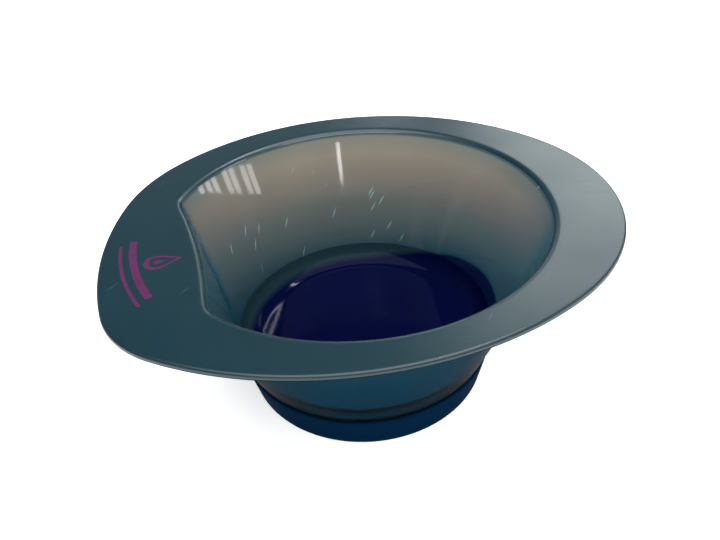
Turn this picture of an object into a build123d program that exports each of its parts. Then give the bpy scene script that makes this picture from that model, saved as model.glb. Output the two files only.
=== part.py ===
from build123d import *
import math
import os

# Hair colour mixing bowl: a round tapered bowl with a wide flat rim that runs out on one side
# into a handle, a flat leaning wall under the handle edge for wiping the brush, a raised floor
# on a hollow foot, and a soft non-slip base stretched over that foot.
# Frame: origin on the resting surface at the centre of the foot, +Z up, the handle towards -X.
# All sizes are in millimetres.

# Driving dimensions: whole object
MOUTH_Z = 58.7  # height of the mouth's edge
MOUTH_R = 58.6  # radius of the round mouth, where the flat of the rim begins
WALL = 2.0  # wall, floor and skirt thickness

# Rim: a closed outline of six tangent arcs, dished very slightly upwards to its edge. In order they
# are the far end, the +Y side, the +Y corner of the handle, the handle end, the -Y corner of the
# handle and the -Y side. The last two radii, about 30 and 97, are the ones that close the outline.
RIM_CENTRE = (14.3, -4.05)  # centre of the first arc
RIM_RADII = (60.9, 77.1, 55.4, 104.6)
RIM_JOINS = (-71.0, 15.5, 125.0, 155.5, 185.7, 226.5)  # where each arc starts, in degrees from +X
RIM_RISE = 0.04  # rise of the rim for each millimetre outwards
RIM_THICK = 1.8
RIM_EDGE_ROUND = 0.7
MOUTH_ROUND = 2.4  # round-over between the rim and the inside wall

# Tapered wall
SHOULDER_Z = 11.5  # step between the wall and the foot
WALL_FOOT_R = 41.0  # outside radius of the wall at the step
WALL_TOP_R = 58.6  # outside radius of the wall at the mouth's height
FLOOR_Z = 11.5  # inside floor
FLOOR_ROUND = 8.0  # inside radius between floor and wall

# Brush-wiping wall: part of a large leaning cylinder, bulging slightly into the bowl
WIPE_X = -46.8  # middle of the handle edge, at the mouth's height
WIPE_LEAN = 9.1  # degrees from upright
WIPE_R = 203.0

# Foot skirt of the bowl, inside the soft base
SKIRT_TOP_R = 39.4
SKIRT_END_R = 37.6
SKIRT_END_Z = 2.0
BEAD_Z = 6.0  # snap bead that holds the base on
BEAD_R = 0.5

# Soft non-slip base
BASE_TOP_R = 41.6  # stands slightly proud of the wall as a thin ledge
BASE_FOOT_R = 39.4
BASE_INNER_R = 31.0
BASE_EDGE_ROUND = 1.2
TREAD_RADII = (33.2, 35.8)  # grooves in the resting face
TREAD_WIDTH = 1.2
TREAD_DEPTH = 0.6

ABOVE = 30.0  # how far cutting bodies run past the mouth
BEYOND = 100.0  # and how far they reach from the axis


def spin(points):
    """Revolve a closed (radius, height) polygon about the bowl's axis."""
    return revolve(make_face(Polyline(*[(r, 0, z) for r, z in points], close=True)), Axis.Z)


def wall_radius(z):
    """Outside radius of the tapered wall at height z."""
    return WALL_FOOT_R + (WALL_TOP_R - WALL_FOOT_R) * (z - SHOULDER_Z) / (MOUTH_Z - SHOULDER_Z)


def skirt_radius(z):
    """Outside radius of the foot skirt at height z."""
    return SKIRT_END_R + (SKIRT_TOP_R - SKIRT_END_R) * (z - SKIRT_END_Z) / (SHOULDER_Z - SKIRT_END_Z)


def rim_height(radius):
    """Height of the rim's top face at a distance from the axis."""
    return MOUTH_Z + RIM_RISE * (radius - MOUTH_R)


def towards(angle):
    """Unit vector in the plane at an angle in degrees from +X."""
    return Vector(math.cos(math.radians(angle)), math.sin(math.radians(angle)))


def closing_radii(chords):
    """Radii of the last two arcs, from the unit chords of all of them."""
    gap = Vector(0, 0)
    for radius, chord in zip(RIM_RADII, chords):
        gap -= chord * radius
    a, b = chords[-2:]
    area = a.X * b.Y - a.Y * b.X
    return (gap.X * b.Y - gap.Y * b.X) / area, (a.X * gap.Y - a.Y * gap.X) / area


def rim_outline():
    """Face inside the rim's outer edge."""
    ends = RIM_JOINS[1:] + (RIM_JOINS[0] + 360,)
    chords = [towards(end) - towards(start) for start, end in zip(RIM_JOINS, ends)]
    radii = RIM_RADII + closing_radii(chords)
    centre = Vector(*RIM_CENTRE)
    arcs = []
    for i, (start, end) in enumerate(zip(RIM_JOINS, ends)):
        if i > 0:
            centre += towards(start) * (radii[i - 1] - radii[i])
        arcs.append(CenterArc(centre, radii[i], start, end - start))
    return make_face(Curve() + arcs)


def rim_plate():
    """The dished rim and handle, with a rounded edge, still without the mouth."""
    inner, outer = MOUTH_R - 4 * WALL, BEYOND
    dish = spin([
        (0, rim_height(inner) - RIM_THICK),
        (inner, rim_height(inner) - RIM_THICK),
        (outer, rim_height(outer) - RIM_THICK),
        (outer, rim_height(outer)),
        (inner, rim_height(inner)),
        (0, rim_height(inner)),
    ])
    plate = extrude(rim_outline(), MOUTH_Z + ABOVE) & dish
    edge = [e for e in plate.edges() if distance_from_axis(e) > MOUTH_R and abs(e.tangent_at(0.5).Z) < 0.5]
    return fillet(edge, RIM_EDGE_ROUND)


def distance_from_axis(edge):
    """How far the middle of an edge is from the bowl's axis."""
    middle = edge.position_at(0.5)
    return math.hypot(middle.X, middle.Y)


def wiping_cylinder(radius):
    """Leaning cylinder whose side towards +X is the wiping wall."""
    a = math.radians(WIPE_LEAN)
    x = WIPE_X - WIPE_R * math.cos(a)
    z = MOUTH_Z - WIPE_R * math.sin(a)
    return Location((x, 0, z), (0, -WIPE_LEAN, 0)) * Cylinder(radius, 4 * BEYOND)


def outside_body():
    """The bowl's outside below the rim, solid, with its foot."""
    top = MOUTH_Z - RIM_THICK / 2
    bowl = spin([(0, SHOULDER_Z), (WALL_FOOT_R, SHOULDER_Z), (wall_radius(top), top), (0, top)])
    bowl -= wiping_cylinder(WIPE_R - WALL)
    foot = spin([(0, SKIRT_END_Z), (SKIRT_END_R, SKIRT_END_Z), (SKIRT_TOP_R, SHOULDER_Z), (0, SHOULDER_Z)])
    return bowl + foot


def inside_cavity():
    """The space inside the bowl, with the rounded floor and the wiping wall."""
    corner = wall_radius(FLOOR_Z) - WALL
    top = MOUTH_Z + ABOVE
    profile = Polyline((0, 0, FLOOR_Z), (corner, 0, FLOOR_Z), (wall_radius(top) - WALL, 0, top), (0, 0, top),
                       close=True)
    space = revolve(make_face(profile), Axis.Z)
    space = fillet(space.edges().filter_by(GeomType.CIRCLE).sort_by(Axis.Z)[0], FLOOR_ROUND)
    return space - wiping_cylinder(WIPE_R)


def foot_hollow():
    """The open space below the floor, inside the skirt."""
    top = FLOOR_Z - WALL
    return spin([
        (0, SKIRT_END_Z - WALL),
        (skirt_radius(SKIRT_END_Z - WALL) - WALL, SKIRT_END_Z - WALL),
        (skirt_radius(top) - WALL, top),
        (0, top),
    ])


def snap_bead():
    """Half-round bead round the skirt."""
    r = skirt_radius(BEAD_Z)
    return revolve(Plane.XZ * Pos(r, BEAD_Z) * Circle(BEAD_R), Axis.Z)


def bowl_shell():
    """The one-piece moulded bowl: wall, floor, foot skirt, rim and handle."""
    shell = outside_body() + rim_plate() - inside_cavity() - foot_hollow()
    mouth = [e for e in shell.edges() if on_mouth(e)]
    shell = fillet(mouth, MOUTH_ROUND)
    return shell + (snap_bead() - foot_hollow())


def on_mouth(edge):
    """True for the edges between the rim's top face and the inside walls."""
    radius = distance_from_axis(edge)
    return radius < MOUTH_R and abs(edge.position_at(0.5).Z - rim_height(radius)) < RIM_THICK / 4


def non_slip_base():
    """Soft ring stretched over the skirt, with a tread on its resting face."""
    ring = spin([
        (BASE_INNER_R, 0),
        (BASE_FOOT_R, 0),
        (BASE_TOP_R, SHOULDER_Z),
        (SKIRT_TOP_R, SHOULDER_Z),
        (SKIRT_END_R, SKIRT_END_Z),
        (BASE_INNER_R, SKIRT_END_Z),
    ])
    bottom = ring.edges().filter_by(GeomType.CIRCLE).group_by(Axis.Z)[0]
    ring = fillet(bottom.sort_by(lambda e: e.radius)[-1], BASE_EDGE_ROUND)
    ring -= snap_bead()
    for r in TREAD_RADII:
        ring -= spin([(r, 0), (r + TREAD_WIDTH, 0), (r + TREAD_WIDTH, TREAD_DEPTH), (r, TREAD_DEPTH)])
    return ring


os.makedirs("parts", exist_ok=True)
for name, make in (("bowl_shell", bowl_shell), ("non_slip_base", non_slip_base)):
    part = make()
    part.label = name
    export_step(part, f"parts/{name}.step")
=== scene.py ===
"""Hair colour mixing bowl: the looks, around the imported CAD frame.

Metres, +Z up, handle towards -X.
"""
import math

import bmesh
import bpy
import numpy as np
from mathutils import Matrix, Vector


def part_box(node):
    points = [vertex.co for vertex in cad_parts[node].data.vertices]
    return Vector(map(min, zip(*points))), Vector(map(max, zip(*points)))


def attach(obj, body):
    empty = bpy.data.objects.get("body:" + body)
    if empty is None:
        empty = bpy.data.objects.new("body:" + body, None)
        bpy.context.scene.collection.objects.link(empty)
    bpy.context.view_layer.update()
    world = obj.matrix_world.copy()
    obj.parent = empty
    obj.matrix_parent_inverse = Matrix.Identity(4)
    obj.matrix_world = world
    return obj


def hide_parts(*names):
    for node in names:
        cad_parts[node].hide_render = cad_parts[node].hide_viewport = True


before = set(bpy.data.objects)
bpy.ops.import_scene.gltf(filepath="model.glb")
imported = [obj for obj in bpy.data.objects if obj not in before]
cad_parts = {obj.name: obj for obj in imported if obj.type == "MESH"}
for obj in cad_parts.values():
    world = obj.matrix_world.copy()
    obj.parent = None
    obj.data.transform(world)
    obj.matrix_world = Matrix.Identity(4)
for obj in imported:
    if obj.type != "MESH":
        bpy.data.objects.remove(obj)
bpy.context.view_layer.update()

MM = 0.001
shell_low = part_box("bowl_shell")[0]
base_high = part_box("non_slip_base")[1]

# Sizes of the bowl, in millimetres. The first three come from the frame.
SHOULDER_Z = base_high.z / MM  # top of the soft base, where the wall starts
BASE_TOP_R = base_high.x / MM
SKIRT_END_Z = shell_low.z / MM

# Rim: six tangent arcs, the last two with the radii that close the outline
RIM_CENTRE = (14.3, -4.05)
RIM_RADII = (60.9, 77.1, 55.4, 104.6)
RIM_JOINS = (-71.0, 15.5, 125.0, 155.5, 185.7, 226.5)
RIM_RISE = 0.04
RIM_THICK = 1.8
RIM_EDGE_ROUND = 0.7
MOUTH_R = 58.6
MOUTH_Z = 58.7
MOUTH_ROUND = 2.4
MOUTH_REACH = 4.0  # the straight inside wall ends this far below the mouth
UNDER_ROUND = 1.6  # between the rim's underside and the outside wall
UNDER_REACH = 8.0  # length of outside wall that sets the slope of that rounding
ARC_STEPS = 200  # points along each arc of the outline

# Walls
WALL = 2.0
WALL_FOOT_R = BASE_TOP_R - 0.6
WALL_FOOT_GAP = 0.5  # the straight outside wall ends this far above the shoulder
WALL_END = ((0.1, 0.12), (0.4, 0.02))  # its lower edge: (in from the wall, above the shoulder)
FLOOR_ROUND = 8.0
FLOOR_REACH = 14.0  # height of inside wall that sets the slope of that rounding
WIPE_X, WIPE_SLOPE, WIPE_R = -46.8, math.tan(math.radians(9.1)), 203.0
CORNER_BLEND = 2.5  # how softly the wiping wall turns into the round wall
NO_WIPE_WALL = 1e3  # radius given where the wiping wall isn't met

# Foot skirt and its hollow
SKIRT_TOP_R, SKIRT_END_R = BASE_TOP_R - 2.2, BASE_TOP_R - 4.0
SKIRT_GAP = 0.02  # the skirt starts this far above the shoulder
EDGE_BREAK = 0.1  # small chamfers
HOLLOW_ROUND = 1.2  # corner between the hollow's wall and the floor's underside
HOLLOW_BEND = (0.3, 0.35)  # the point between that corner's ends: (in, down)

# Soft base
BASE_FOOT_R, BASE_INNER_R = 39.4, 31.0
BASE_ROUND = 1.2
LEDGE_ROUND = 0.35
BASE_BREAK = 0.4  # softened edges
FIT_GAP = 0.05  # between the base and the skirt inside it
TREAD_RADII, TREAD_WIDTH, TREAD_DEPTH = (33.2, 35.8), 1.2, 0.6
TREAD_SIDE = ((-0.15, 0.0), (0.1, 0.5), (0.3, 1.0))  # (in from a groove's edge, share of depth)

# Printed mark: bars as (inner radius, outer radius, start and end in degrees), a drop and its dot
BARS = ((63.0, 65.0, 171.0, 197.0), (66.8, 67.7, 172.5, 198.5))
DROP_MIDDLE, DROP_SIZE, DROP_BAND = (-56.4, -3.2), 4.5, (0.72, 0.8, 0.9, 1.0)
DROP_LENGTH, DROP_TIP = 1.15, 1.4  # length against width, and how pointed the tip is
DOT_SHIFT, DOT_SIZE, DOT_BAND = 1.0, 1.3, (0.05, 0.4, 1.0)
INK_TOP, INK_UNDER = 0.035, -0.02  # the ink film above and below the rim's surface

TURNS = 360  # steps round the bowl
ON_AXIS = 1e-6  # smaller radii count as on the axis

# Painted light and shade inside: the heights of its bands drop with the square of the distance
# towards the far side, where the painted shade climbs the wall
CLIMB_WAY, CLIMB, CLIMB_FADE = (0.966, -0.259), 0.0060, (20.0, 50.0)
LIGHT_AND_SHADE_WAVE = 0.3  # how far the height of the painted light and shade wanders up and down
UNROLL_R = 0.05  # radius at which the wall is rolled out flat, in metres
SATIN = (0.29, 0.35)  # roughness of the satin faces, from and to

# Camera: held a little to the left of the bowl and looking down into it, in metres and degrees
CAMERA_PLACE = Vector((-0.0470, -0.1466, 0.1488))
CAMERA_TURN, CAMERA_DOWN, CAMERA_ROLL = -17.7, 36.3, -4.5
CAMERA_LENS, CAMERA_SENSOR = 30.0, 36

# Stage and lamps, in metres
STUDIO_HALF = 20.0
LAMP_TARGET = Vector((0, 0, 0.04))
WHITE = (1, 1, 1)
PANES = (-37, -32, -24, -19, -10, -5, 1)  # azimuths of the window's panes
LAMPS = (  # name, azimuth, elevation, distance, size, strength, colour
    ("overhead", -100, 72, 1.5, (1.9, 1.9), 4.1, WHITE),
    ("side_softbox", 44, 31, 1.3, (0.60, 0.38), 5.1, (0.95, 1.0, 0.98)),
    ("back_softbox", 84, 20, 1.5, (0.70, 0.30), 0.3, WHITE),
    ("edge_strip", 68, 14, 1.3, (0.10, 0.30), 5.0, WHITE),
    *((f"window_pane_{i}", turn, 8, 1.6, (0.10, 0.28), 6.5, WHITE) for i, turn in enumerate(PANES)),
    ("strip", -99, 16, 1.5, (0.06, 0.13), 14.0, WHITE),
    ("glint_strip", 30, 61, 1.4, (0.40, 0.030), 130.0, WHITE),
    ("right_fill", -25, 22, 1.6, (0.50, 0.25), 5.0, WHITE),
)


# ---------------------------------------------------------------- shapes

def wall_radius(z):
    """Outside radius of the tapered wall."""
    return WALL_FOOT_R + (MOUTH_R - WALL_FOOT_R) * (z - SHOULDER_Z) / (MOUTH_Z - SHOULDER_Z)


def skirt_radius(z):
    """Outside radius of the foot skirt."""
    rise = (z - SKIRT_END_Z) / (SHOULDER_Z - SKIRT_END_Z)
    return SKIRT_END_R + (SKIRT_TOP_R - SKIRT_END_R) * rise


def wipe_radius(angle, z, back):
    """Distance from the axis to the leaning wiping wall, moved back by a wall's thickness."""
    near = -(WIPE_X + WIPE_SLOPE * (MOUTH_Z - z)) + back
    c, s = math.cos(angle), math.sin(angle)
    inside = c * c - 2 * s * s * near / WIPE_R
    if c >= 0 or inside <= 0:
        return NO_WIPE_WALL
    return 2 * near / (-c + math.sqrt(inside))


def soft_min(a, b, k):
    """The smaller of two lengths, rounded where they cross."""
    h = max(k - abs(a - b), 0) / k
    return min(a, b) - h * h * k / 4


def inner_radius(angle, z):
    return soft_min(wall_radius(z) - WALL, wipe_radius(angle, z, 0), CORNER_BLEND)


def outer_radius(angle, z):
    return soft_min(wall_radius(z), wipe_radius(angle, z, WALL), CORNER_BLEND)


def rim_outline():
    """Angle and distance from the axis of points along the rim's outline."""
    arcs = len(RIM_JOINS)
    starts = [math.radians(a) for a in RIM_JOINS]
    ends = starts[1:] + [starts[0] + 2 * math.pi]
    ways = [np.array([math.cos(a), math.sin(a)]) for a in starts]
    chords = [ways[(i + 1) % arcs] - ways[i] for i in range(arcs)]
    gap = -sum(r * c for r, c in zip(RIM_RADII, chords))
    radii = list(RIM_RADII) + list(np.linalg.solve(np.array(chords[-2:]).T, gap))
    centre, points = np.array(RIM_CENTRE), []
    for i in range(arcs):
        if i:
            centre = centre + (radii[i - 1] - radii[i]) * ways[i]
        turn = np.linspace(starts[i], ends[i], ARC_STEPS, endpoint=False)
        points.append(centre + radii[i] * np.stack([np.cos(turn), np.sin(turn)], 1))
    points = np.concatenate(points)
    return np.arctan2(points[:, 1], points[:, 0]), np.hypot(points[:, 0], points[:, 1])


OUTLINE = rim_outline()


def rim_radius(angle):
    """Distance from the axis to the rim's outline."""
    return float(np.interp(angle, OUTLINE[0], OUTLINE[1], period=2 * math.pi))


def rim_height(radius):
    """Height of the rim's top face at a distance from the axis."""
    return MOUTH_Z + RIM_RISE * (radius - MOUTH_R)


def between(a, b, steps):
    """Points from a to b, without either end."""
    return [(a[0] + (b[0] - a[0]) * i / (steps + 1), a[1] + (b[1] - a[1]) * i / (steps + 1))
            for i in range(1, steps + 1)]


def round_corner(before, corner, after, radius, steps):
    """Points of the arc that rounds a corner."""
    p, q, r = (Vector(v) for v in (before, corner, after))
    u, v = (p - q).normalized(), (r - q).normalized()
    half = u.angle(v) / 2
    centre = q + (u + v).normalized() * (radius / math.sin(half))
    first = q + u * (radius / math.tan(half)) - centre
    last = q + v * (radius / math.tan(half)) - centre
    turn = first.angle_signed(last)
    return [tuple(centre + Matrix.Rotation(-turn * t, 2) @ first) for t in np.linspace(0, 1, steps)]


def add_object(name, mesh):
    piece = bpy.data.objects.new(name, mesh)
    bpy.context.scene.collection.objects.link(piece)
    return piece


def spun_mesh(name, profile_at, open_ended):
    """A closed surface from one (points, zones) profile for each step round the axis.

    An open-ended profile starts and ends on the axis.
    """
    angles = [2 * math.pi * i / TURNS for i in range(TURNS)]
    rings = [profile_at(a) for a in angles]
    count = len(rings[0][0])
    verts, index = [], {}
    for j in range(count):
        on_axis = rings[0][0][j][0] < ON_AXIS
        for i, a in enumerate(angles):
            if on_axis and i:
                index[i, j] = index[0, j]
                continue
            r, z = rings[i][0][j]
            index[i, j] = len(verts)
            verts.append((r * math.cos(a) * MM, r * math.sin(a) * MM, z * MM))
    faces, kinds = [], []
    last = count - 1 if open_ended else count
    for j in range(last):
        k = (j + 1) % count
        for i in range(TURNS):
            n = (i + 1) % TURNS
            loop = [index[i, j], index[n, j], index[n, k], index[i, k]]
            loop = [v for p, v in enumerate(loop) if v not in loop[:p]]
            if len(loop) > 2:
                faces.append(loop)
                kinds.append(rings[i][1][j])
    mesh = bpy.data.meshes.new(name)
    mesh.from_pydata(verts, [], faces)
    mesh.polygons.foreach_set("material_index", kinds)
    mesh.shade_smooth()
    mesh.validate()
    return add_object(name, mesh)


INSIDE, FLOOR, RIM, OUTSIDE = 0, 1, 2, 3  # zones of the bowl, one material each


def bowl_profile(angle):
    """(radius, height) points round the bowl's section, with the zone of each.

    They run from the middle of the floor, up the inside and over the rim, to the middle underneath.
    """
    points, zones = [(0, SHOULDER_Z)], [FLOOR]

    def add(new, zone):
        zones.extend([zone] * len(new))
        points.extend(new)

    def inner(z):
        return inner_radius(angle, z), z

    def outer(z):
        return outer_radius(angle, z), z

    # floor and its fillet
    slope_end = inner(SHOULDER_Z + FLOOR_REACH)
    fillet = round_corner(points[0], inner(SHOULDER_Z), slope_end, FLOOR_ROUND, steps=14)
    add(between(points[0], fillet[0], steps=10), FLOOR)
    add(fillet, FLOOR)
    # inside wall
    wall_end = inner(MOUTH_Z - MOUTH_REACH)
    add([inner(z) for z in np.linspace(fillet[-1][1], wall_end[1], 26)[1:]], INSIDE)
    # round-over at the mouth
    corner = inner(rim_height(inner_radius(angle, MOUTH_Z)))
    edge_r = rim_radius(angle)
    edge = (edge_r, rim_height(edge_r))
    mouth = round_corner(wall_end, corner, edge, MOUTH_ROUND, steps=9)
    add(mouth[:2], INSIDE)
    add(mouth[2:], RIM)
    # rim, its edge and its underside
    under = (edge_r, edge[1] - RIM_THICK)
    top_round = round_corner(mouth[-1], edge, under, RIM_EDGE_ROUND, steps=6)
    add(between(mouth[-1], top_round[0], steps=14), RIM)
    add(top_round, RIM)
    join = outer(rim_height(outer_radius(angle, MOUTH_Z)) - RIM_THICK)
    low_round = round_corner(edge, under, join, RIM_EDGE_ROUND, steps=6)
    add(low_round, OUTSIDE)
    fillet = round_corner(under, join, outer(join[1] - UNDER_REACH), UNDER_ROUND, steps=7)
    add(between(low_round[-1], fillet[0], steps=8), OUTSIDE)
    add(fillet, OUTSIDE)
    # outside wall down to the shoulder
    heights = np.linspace(fillet[-1][1], SHOULDER_Z + WALL_FOOT_GAP, 22)[1:]
    add([outer(z) for z in heights], OUTSIDE)
    foot_r = outer_radius(angle, SHOULDER_Z)
    add([(foot_r - back, SHOULDER_Z + up) for back, up in WALL_END], OUTSIDE)
    # foot skirt
    bottom, top = SKIRT_END_Z, SHOULDER_Z - WALL
    add([(skirt_radius(SHOULDER_Z), SHOULDER_Z + SKIRT_GAP)], OUTSIDE)
    heights = np.linspace(SHOULDER_Z - EDGE_BREAK, bottom + EDGE_BREAK, 6)
    add([(skirt_radius(z), z) for z in heights], OUTSIDE)
    add([(skirt_radius(bottom) - EDGE_BREAK, bottom),
         (skirt_radius(bottom) - WALL + EDGE_BREAK, bottom)], OUTSIDE)
    # its hollow and the underside of the floor
    heights = np.linspace(bottom + EDGE_BREAK, top - HOLLOW_ROUND, 6)
    add([(skirt_radius(z) - WALL, z) for z in heights], OUTSIDE)
    hollow_r = skirt_radius(top) - WALL
    flat_end = (hollow_r - HOLLOW_ROUND, top)
    add([(hollow_r - HOLLOW_BEND[0], top - HOLLOW_BEND[1]), flat_end], OUTSIDE)
    add(between(flat_end, (0, top), steps=8), OUTSIDE)
    add([(0, top)], OUTSIDE)
    return points, zones


def make_bowl():
    piece = spun_mesh("bowl_body", bowl_profile, open_ended=True)
    piece.data.flip_normals()
    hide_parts("bowl_shell")
    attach(piece, "root")
    return piece


def base_profile(angle):
    """(radius, height) loop of the soft base, the same at every angle, and its zones."""
    inside, foot, top = (BASE_INNER_R, 0), (BASE_FOOT_R, 0), (BASE_TOP_R, SHOULDER_Z)
    # resting face with its grooves
    points = [(BASE_INNER_R + BASE_BREAK, 0)]
    for r in TREAD_RADII:
        points += [(r + back, TREAD_DEPTH * share) for back, share in TREAD_SIDE]
        points += [(r + TREAD_WIDTH - back, TREAD_DEPTH * share)
                   for back, share in reversed(TREAD_SIDE)]
    # outside and the ledge
    points += round_corner(inside, foot, top, BASE_ROUND, steps=8)
    points += between(points[-1], (BASE_TOP_R - 0.02, SHOULDER_Z - 0.5), steps=8)
    points += round_corner(foot, top, (SKIRT_TOP_R, SHOULDER_Z), LEDGE_ROUND, steps=5)
    points += [(WALL_FOOT_R - 0.2, SHOULDER_Z - 0.01), (SKIRT_TOP_R + FIT_GAP, SHOULDER_Z - 0.03)]
    # the faces against the skirt, and the inner edge
    heights = np.linspace(SHOULDER_Z - BASE_BREAK, SKIRT_END_Z, 6)
    points += [(skirt_radius(z) + FIT_GAP, z) for z in heights]
    points += [(skirt_radius(SKIRT_END_Z) - EDGE_BREAK, SKIRT_END_Z - FIT_GAP),
               (BASE_INNER_R + 0.5, SKIRT_END_Z - FIT_GAP),
               (BASE_INNER_R + EDGE_BREAK, SKIRT_END_Z - BASE_BREAK),
               (BASE_INNER_R, SKIRT_END_Z / 2), (BASE_INNER_R + EDGE_BREAK, 0.3)]
    return points, [0] * len(points)


def make_base():
    piece = spun_mesh("soft_base", base_profile, open_ended=False)
    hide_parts("non_slip_base")
    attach(piece, "root")
    return piece


def bar_points(r_low, r_high, start, end):
    """Grid of a bar that runs round the rim, angles in degrees."""
    along, across = np.radians(np.linspace(start, end, 40)), np.linspace(r_low, r_high, 4)
    return [[(r * math.cos(a), r * math.sin(a)) for a in along] for r in across]


def drop_points(centre, size, shares):
    """Grid of a band along the outline of a colour drop, with its tip towards the bowl."""
    edge = []
    for t in np.linspace(0, 2 * math.pi, 60, endpoint=False):
        across = math.sin(t) * math.sin(t / 2) ** DROP_TIP
        edge.append((math.cos(t) * size * DROP_LENGTH, across * size))
    return [[(centre[0] + x * share, centre[1] + y * share) for x, y in edge] for share in shares]


def add_slab(shape, rows, ring):
    """Add a grid of points to a bmesh as a closed film of ink lying on the rim.

    The rows of a ring join up with their start.
    """
    film = []
    for lift in (INK_TOP, INK_UNDER):
        film.append([[shape.verts.new((x * MM, y * MM, (rim_height(math.hypot(x, y)) + lift) * MM))
                      for x, y in row] for row in rows])
    top, under = film
    down, across = len(rows), len(rows[0])
    steps = across if ring else across - 1
    for i in range(steps):
        n = (i + 1) % across
        for j in range(down - 1):
            for grid in film:
                shape.faces.new((grid[j][i], grid[j][n], grid[j + 1][n], grid[j + 1][i]))
        for j in (0, down - 1):
            shape.faces.new((top[j][i], top[j][n], under[j][n], under[j][i]))
    if not ring:
        for i in (0, across - 1):
            for j in range(down - 1):
                shape.faces.new((top[j][i], top[j + 1][i], under[j + 1][i], under[j][i]))


def make_print():
    """The handle's printed mark, kept plain: a colour drop over a thick and a thin bar."""
    shape = bmesh.new()
    for bar in BARS:
        add_slab(shape, bar_points(*bar), ring=False)
    dot_middle = (DROP_MIDDLE[0] - DOT_SHIFT, DROP_MIDDLE[1])
    add_slab(shape, drop_points(DROP_MIDDLE, DROP_SIZE, DROP_BAND), ring=True)
    add_slab(shape, drop_points(dot_middle, DOT_SIZE, DOT_BAND), ring=True)
    bmesh.ops.recalc_face_normals(shape, faces=shape.faces)
    mesh = bpy.data.meshes.new("printed_mark")
    shape.to_mesh(mesh)
    shape.free()
    piece = add_object("printed_mark", mesh)
    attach(piece, "root")
    return piece


# ---------------------------------------------------------------- materials
# Colours are linear, noise scales are in features per metre, and bump distances are in metres.

def new_material(name):
    material = bpy.data.materials.new(name)
    material.use_nodes = True
    tree = material.node_tree
    return material, tree, tree.nodes["Principled BSDF"]


def add_node(tree, kind, inputs=(), **settings):
    """A node with its settings, and a value or a link for each (input, source) given."""
    node = tree.nodes.new(kind)
    for key, value in settings.items():
        setattr(node, key, value)
    for key, source in inputs:
        if isinstance(source, bpy.types.NodeSocket):
            tree.links.new(source, node.inputs[key])
        else:
            node.inputs[key].default_value = source
    return node


def place(tree):
    """Object-space position, in metres."""
    return add_node(tree, "ShaderNodeTexCoord").outputs["Object"]


def split_place(tree):
    """The three parts of the object-space position."""
    return add_node(tree, "ShaderNodeSeparateXYZ", [("Vector", place(tree))]).outputs


def noise(tree, scale, detail=4.0):
    """Noise from 0 to 1."""
    return add_node(tree, "ShaderNodeTexNoise", [
        ("Vector", place(tree)), ("Scale", scale), ("Detail", detail)]).outputs["Fac"]


def remap(tree, value, low, high, to_low, to_high):
    """Value moved from one range to another, clamped."""
    return add_node(tree, "ShaderNodeMapRange", [
        ("Value", value), ("From Min", low), ("From Max", high),
        ("To Min", to_low), ("To Max", to_high)]).outputs[0]


def math_node(tree, operation, a, b):
    return add_node(tree, "ShaderNodeMath", [(0, a), (1, b)], operation=operation).outputs[0]


def total(tree, a, b):
    return math_node(tree, "ADD", a, b)


def product(tree, a, b):
    return math_node(tree, "MULTIPLY", a, b)


def scaled_vector(tree, vector, by):
    return add_node(tree, "ShaderNodeVectorMath", [(0, vector), (1, by)],
                    operation="MULTIPLY").outputs[0]


def mix(tree, share, colour, other):
    """Colour turned to a fixed other one, by a share from 0 to 1."""
    return add_node(tree, "ShaderNodeMixRGB", [
        ("Fac", share), ("Color1", colour), ("Color2", (*other, 1))]).outputs[0]


def height(tree):
    """Height above the table, in millimetres."""
    return product(tree, split_place(tree)["Z"], 1 / MM)


def light_and_shade_height(tree):
    """Height in millimetres for the painted light and shade inside.

    It is lowered towards the far side, where the painted shade climbs the wall, and wanders a
    little.
    """
    apart = split_place(tree)
    along = total(tree, product(tree, apart["X"], CLIMB_WAY[0] / MM),
                  product(tree, apart["Y"], CLIMB_WAY[1] / MM))
    beyond = math_node(tree, "MAXIMUM", along, 0.0)
    drop = product(tree, product(tree, beyond, beyond), -CLIMB)
    fade = remap(tree, height(tree), *CLIMB_FADE, 1.0, 0.0)
    lowered = total(tree, height(tree), product(tree, drop, fade))
    return total(tree, lowered, remap(tree, noise(tree, 30.0), 0.0, 1.0, -LIGHT_AND_SHADE_WAVE, LIGHT_AND_SHADE_WAVE))


def colour_ramp(tree, value, stops, span=(0.0, 1.0)):
    """Colour by value. Stops are (value, colour), and span is the range they lie in."""
    scaled = remap(tree, value, span[0], span[1], 0.0, 1.0)
    ramp = add_node(tree, "ShaderNodeValToRGB", [("Fac", scaled)])
    steps = ramp.color_ramp.elements
    while len(steps) < len(stops):
        steps.new(0.5)
    for step, (at, colour) in zip(steps, stops):
        step.position = (at - span[0]) / (span[1] - span[0])
        step.color = (*colour, 1)
    return ramp.outputs["Color"]


def unrolled(tree):
    """Position on the wall as if it were rolled out flat: the way round, then the height."""
    apart = split_place(tree)
    way = product(tree, math_node(tree, "ARCTAN2", apart["Y"], apart["X"]), UNROLL_R)
    return add_node(tree, "ShaderNodeCombineXYZ", [("X", way), ("Y", apart["Z"])]).outputs[0]


def drawn_out(tree, where, turn, squeeze):
    """Position turned in its plane and squeezed along it, which draws a texture out into lines."""
    turned = add_node(tree, "ShaderNodeVectorRotate", [("Vector", where), ("Angle", turn)],
                      rotation_type="Z_AXIS").outputs[0]
    return scaled_vector(tree, turned, (squeeze, 1.0, 0.0))


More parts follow.
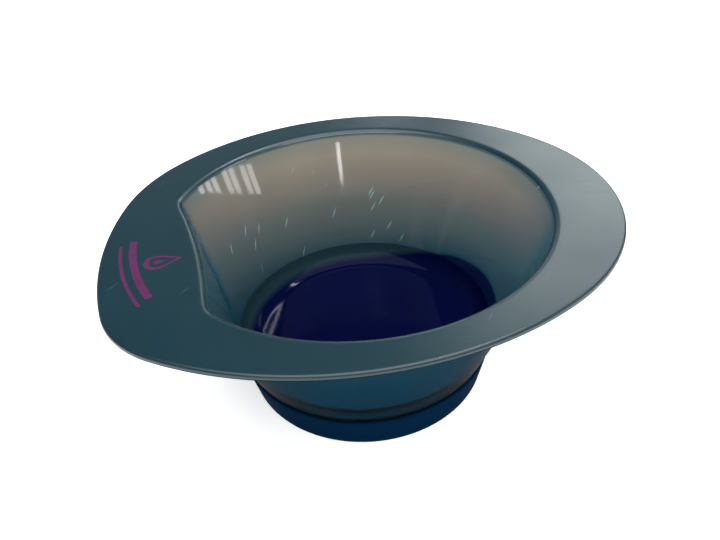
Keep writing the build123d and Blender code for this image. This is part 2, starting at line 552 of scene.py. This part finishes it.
def scratches(tree, where, turn, strength):
    """Fine straight hair scratches in patches, from 0 to strength, in the plane of where."""
    level, half_width = 0.66, 0.02  # a hair runs where the noise passes this level
    lines = add_node(tree, "ShaderNodeTexNoise", [
        ("Vector", drawn_out(tree, where, turn, 0.012)), ("Scale", 900.0),
        ("Detail", 0.0)]).outputs["Fac"]
    off = math_node(tree, "ABSOLUTE", math_node(tree, "SUBTRACT", lines, level), 0.0)
    hairs = remap(tree, off, 0.0, half_width, strength, 0.0)
    patches = remap(tree, noise(tree, 26.0 + 3 * turn), 0.48, 0.62, 0.0, 1.0)
    return product(tree, hairs, patches)


def glinting_scrapes(tree, where, turn, patchy):
    """Short brush scrape marks whose glints are painted on as light streaks, from 0 to 1, in loose
    groups.
    """
    apart = add_node(tree, "ShaderNodeTexVoronoi", [
        ("Vector", drawn_out(tree, where, turn, 0.1)), ("Scale", 260.0)],
        voronoi_dimensions="2D").outputs["Distance"]
    stroke = remap(tree, apart, 0.02, 0.06, 1.0, 0.0)
    groups = remap(tree, noise(tree, patchy, 1.0), 0.52, 0.60, 0.0, 1.0)
    return product(tree, stroke, groups)


def with_painted_glints(tree, colour, mask, light, share):
    """Colour lightened where a mask is set: painted glints along the scrape marks."""
    return mix(tree, product(tree, mask, share), colour, light)


def deeper(tree, colour, edge_colour, strength):
    """Colour that turns to edge_colour where the wall is seen aslant, so through more plastic."""
    facing = add_node(tree, "ShaderNodeLayerWeight", [("Blend", 0.5)]).outputs["Facing"]
    share = product(tree, remap(tree, facing, 0.03, 0.80, 0.0, 1.0), strength)
    return mix(tree, share, colour, edge_colour)


def vary(tree, colour, amount, scale):
    """Colour made a little lighter and darker in soft patches."""
    light = remap(tree, noise(tree, scale), 0.3, 0.7, 1 - amount, 1 + amount)
    grey = add_node(tree, "ShaderNodeCombineColor", [
        ("Red", light), ("Green", light), ("Blue", light)]).outputs[0]
    return scaled_vector(tree, colour, grey)


def satin(tree):
    """Roughness of the satin faces, in soft patches."""
    return remap(tree, noise(tree, 35.0), 0.3, 0.7, *SATIN)


def paint(tree, shader, colour, roughness):
    tree.links.new(colour, shader.inputs["Base Color"])
    tree.links.new(roughness, shader.inputs["Roughness"])


def bump(tree, shader, value, distance, strength):
    made = add_node(tree, "ShaderNodeBump", [
        ("Height", value), ("Distance", distance), ("Strength", strength)])
    tree.links.new(made.outputs["Normal"], shader.inputs["Normal"])


def polished_inside():
    """Inside walls: polished smoke plastic with painted light and shade: warm painted light where
    light comes through, painted shade low down and a painted dark line at the mouth.
    """
    material, tree, shader = new_material("smoke_polished")
    z = light_and_shade_height(tree)
    # painted light and shade by height: near-black painted shade over the foot, dark teal painted
    # shade low on the wall, warm painted light higher up, and a painted dark line just under the
    # mouth's round-over
    tint = colour_ramp(tree, z, [
        (12.7, (0.0003, 0.0004, 0.006)), (13.8, (0.026, 0.030, 0.038)),
        (21.0, (0.150, 0.058, 0.043)), (33.0, (0.228, 0.076, 0.046)),
        (46.0, (0.282, 0.124, 0.074)), (56.6, (0.345, 0.190, 0.116)),
        (57.2, (0.030, 0.042, 0.045))], (10.0, 60.0))
    # painted shade: low on the wall only, the colour turns darker teal where the wall is seen
    # aslant
    tint = deeper(tree, tint, (0.010, 0.030, 0.040), remap(tree, z, 12.5, 19.0, 0.0, 1.0))
    # painted glints: light warm streaks along brush scrape marks on the inside wall
    scrape_glints = glinting_scrapes(tree, unrolled(tree), 1.0, 34.0)
    tint = with_painted_glints(tree, vary(tree, tint, 0.05, 60.0), scrape_glints, (0.95, 0.84, 0.74), 0.75)
    smooth = remap(tree, noise(tree, 45.0), 0.35, 0.75, 0.04, 0.09)
    paint(tree, shader, tint, total(tree, smooth, scratches(tree, unrolled(tree), 1.1, 0.06)))
    bump(tree, shader, noise(tree, 55.0, 1.0), 0.00003, 0.4)
    shader.inputs["Transmission Weight"].default_value = 0.92
    shader.inputs["Specular IOR Level"].default_value = 0.25
    shader.inputs["IOR"].default_value = 1.49
    return material


def navy_floor():
    """Floor and its rounded corner: the same polish over the foot, painted near-black navy as shade
    where no light comes through.
    """
    material, tree, shader = new_material("smoke_floor")
    navy = colour_ramp(tree, noise(tree, 38.0), [
        (0.3, (0.0004, 0.0013, 0.0180)), (0.7, (0.0008, 0.0021, 0.0235))])
    # painted shade: up the rounded corner the navy turns to the dark teal painted shade of the wall
    # above
    corner = remap(tree, light_and_shade_height(tree), 12.6, 14.2, 0.0, 1.0)
    tint = mix(tree, corner, navy, (0.009, 0.023, 0.031))
    smooth = remap(tree, noise(tree, 45.0), 0.35, 0.75, 0.05, 0.10)
    paint(tree, shader, tint, total(tree, smooth, scratches(tree, place(tree), 2.3, 0.12)))
    bump(tree, shader, noise(tree, 55.0, 1.0), 0.00003, 0.5)
    shader.inputs["Specular IOR Level"].default_value = 0.12
    shader.inputs["IOR"].default_value = 1.22
    return material


def satin_rim():
    """Top of the rim and handle, and its edge: fine satin, dark teal-grey, with painted glints
    along scrape marks.
    """
    material, tree, shader = new_material("smoke_satin_rim")
    tint = colour_ramp(tree, noise(tree, 28.0, 5.0), [
        (0.3, (0.0004, 0.0165, 0.0250)), (0.7, (0.0008, 0.0205, 0.0300))])
    # painted glints: light streaks along brush scrape marks on the rim
    scrape_glints = glinting_scrapes(tree, place(tree), 2.4, 22.0)
    tint = with_painted_glints(tree, tint, scrape_glints, (0.10, 0.14, 0.15), 0.35)
    marks = total(tree, scratches(tree, place(tree), 0.5, 0.05),
                  scratches(tree, place(tree), 1.9, 0.05))
    paint(tree, shader, tint, math_node(tree, "SUBTRACT", satin(tree), marks))
    bump(tree, shader, noise(tree, 2600.0, 2.0), 0.00004, 0.5)
    shader.inputs["IOR"].default_value = 1.49
    return material


def satin_outside():
    """Underside of the rim, outer wall and skirt: satin plastic that lets some light through, with
    painted shade: darkest low down and under the rim, lightest high on the wall.
    """
    material, tree, shader = new_material("smoke_satin_outside")
    # painted shade by height: dark low down near the base and under the rim's overhang, lighter
    # high on the wall
    tint = colour_ramp(tree, height(tree), [
        (8.0, (0.0002, 0.014, 0.036)), (16.0, (0.0004, 0.028, 0.056)),
        (34.0, (0.0120, 0.062, 0.086)), (50.0, (0.056, 0.092, 0.100)),
        (60.0, (0.008, 0.045, 0.064))], (5.0, 62.0))
    tint = deeper(tree, tint, (0.0002, 0.030, 0.060), 1.0)
    paint(tree, shader, vary(tree, tint, 0.07, 40.0), satin(tree))
    bump(tree, shader, noise(tree, 1800.0, 2.0), 0.00003, 0.4)
    shader.inputs["Transmission Weight"].default_value = 0.9
    shader.inputs["Specular IOR Level"].default_value = 0.0
    shader.inputs["IOR"].default_value = 1.03
    return material


def soft_rubber():
    """Non-slip base: dark navy elastomer with a moulded matt skin, a little dusty low down."""
    material, tree, shader = new_material("base_rubber")
    low_down = remap(tree, height(tree), 0.0, 2.5, 1.0, 0.0)
    tint = colour_ramp(tree, product(tree, low_down, noise(tree, 220.0, 5.0)), [
        (0.0, (0.0012, 0.0130, 0.0370)), (0.45, (0.002, 0.016, 0.042)),
        (1.0, (0.030, 0.038, 0.055))])
    paint(tree, shader, tint, remap(tree, noise(tree, 90.0), 0.3, 0.7, 0.36, 0.48))
    bump(tree, shader, noise(tree, 1500.0, 3.0), 0.00005, 0.5)
    shader.inputs["Specular IOR Level"].default_value = 0.05
    shader.inputs["IOR"].default_value = 1.04
    return material


def print_ink():
    """Magenta print, a little worn."""
    material, tree, shader = new_material("magenta_print")
    tint = colour_ramp(tree, noise(tree, 1600.0, 3.0), [
        (0.3, (0.052, 0.004, 0.046)), (0.6, (0.080, 0.005, 0.062))])
    paint(tree, shader, tint, remap(tree, noise(tree, 300.0), 0.3, 0.7, 0.38, 0.5))
    bump(tree, shader, noise(tree, 2600.0, 2.0), 0.00002, 0.5)
    return material


# ---------------------------------------------------------------- stage, lights and camera

def make_floor():
    mesh = bpy.data.meshes.new("studio_floor")
    h = STUDIO_HALF
    mesh.from_pydata([(-h, -h, 0), (h, -h, 0), (h, h, 0), (-h, h, 0)], [], [(0, 1, 2, 3)])
    floor = add_object("studio_floor", mesh)
    material, _, shader = new_material("floor_white")
    shader.inputs["Base Color"].default_value = (0.92, 0.92, 0.92, 1)
    shader.inputs["Roughness"].default_value = 0.9
    shader.inputs["Emission Color"].default_value = (1, 1, 1, 1)
    shader.inputs["Emission Strength"].default_value = 0.55
    mesh.materials.append(material)


def area_light(name, azimuth, elevation, distance, size, strength, colour):
    """Rectangular lamp that faces the bowl.

    Azimuth is in degrees from +X, and strength is its radiance.
    """
    light = bpy.data.lights.new(name, "AREA")
    light.shape = "RECTANGLE"
    light.size, light.size_y = size
    light.energy = strength * math.pi * size[0] * size[1]
    light.color = colour
    lamp = add_object(name, light)
    a, e = math.radians(azimuth), math.radians(elevation)
    way = Vector((math.cos(a) * math.cos(e), math.sin(a) * math.cos(e), math.sin(e)))
    lamp.location = LAMP_TARGET + way * distance
    lamp.rotation_mode = "QUATERNION"
    lamp.rotation_quaternion = (-way).to_track_quat("-Z", "Y")


def make_lights():
    world = bpy.data.worlds.new("studio")
    bpy.context.scene.world = world
    world.use_nodes = True
    background = world.node_tree.nodes["Background"]
    background.inputs["Color"].default_value = (0.80, 0.92, 1.0, 1)
    background.inputs["Strength"].default_value = 0.25
    for lamp in LAMPS:
        area_light(*lamp)


def make_camera():
    data = bpy.data.cameras.new("camera")
    data.lens = CAMERA_LENS
    data.sensor_width = CAMERA_SENSOR
    camera = add_object("camera", data)
    a, e, roll = (math.radians(v) for v in (CAMERA_TURN, CAMERA_DOWN, CAMERA_ROLL))
    right = Vector((math.cos(a), math.sin(a), 0))
    ahead = Vector((-math.sin(a) * math.cos(e), math.cos(a) * math.cos(e), -math.sin(e)))
    up = right.cross(ahead)
    turned_right = right * math.cos(roll) + up * math.sin(roll)
    turned_up = up * math.cos(roll) - right * math.sin(roll)
    camera.matrix_world = Matrix.Translation(CAMERA_PLACE) @ Matrix(
        (turned_right, turned_up, -ahead)).transposed().to_4x4()
    bpy.context.scene.camera = camera


bowl = make_bowl()
for finish in (polished_inside(), navy_floor(), satin_rim(), satin_outside()):
    bowl.data.materials.append(finish)
base = make_base()
base.data.materials.append(soft_rubber())
mark = make_print()
mark.data.materials.append(print_ink())
make_floor()
make_lights()
make_camera()
bpy.context.scene.view_settings.view_transform = "Standard"
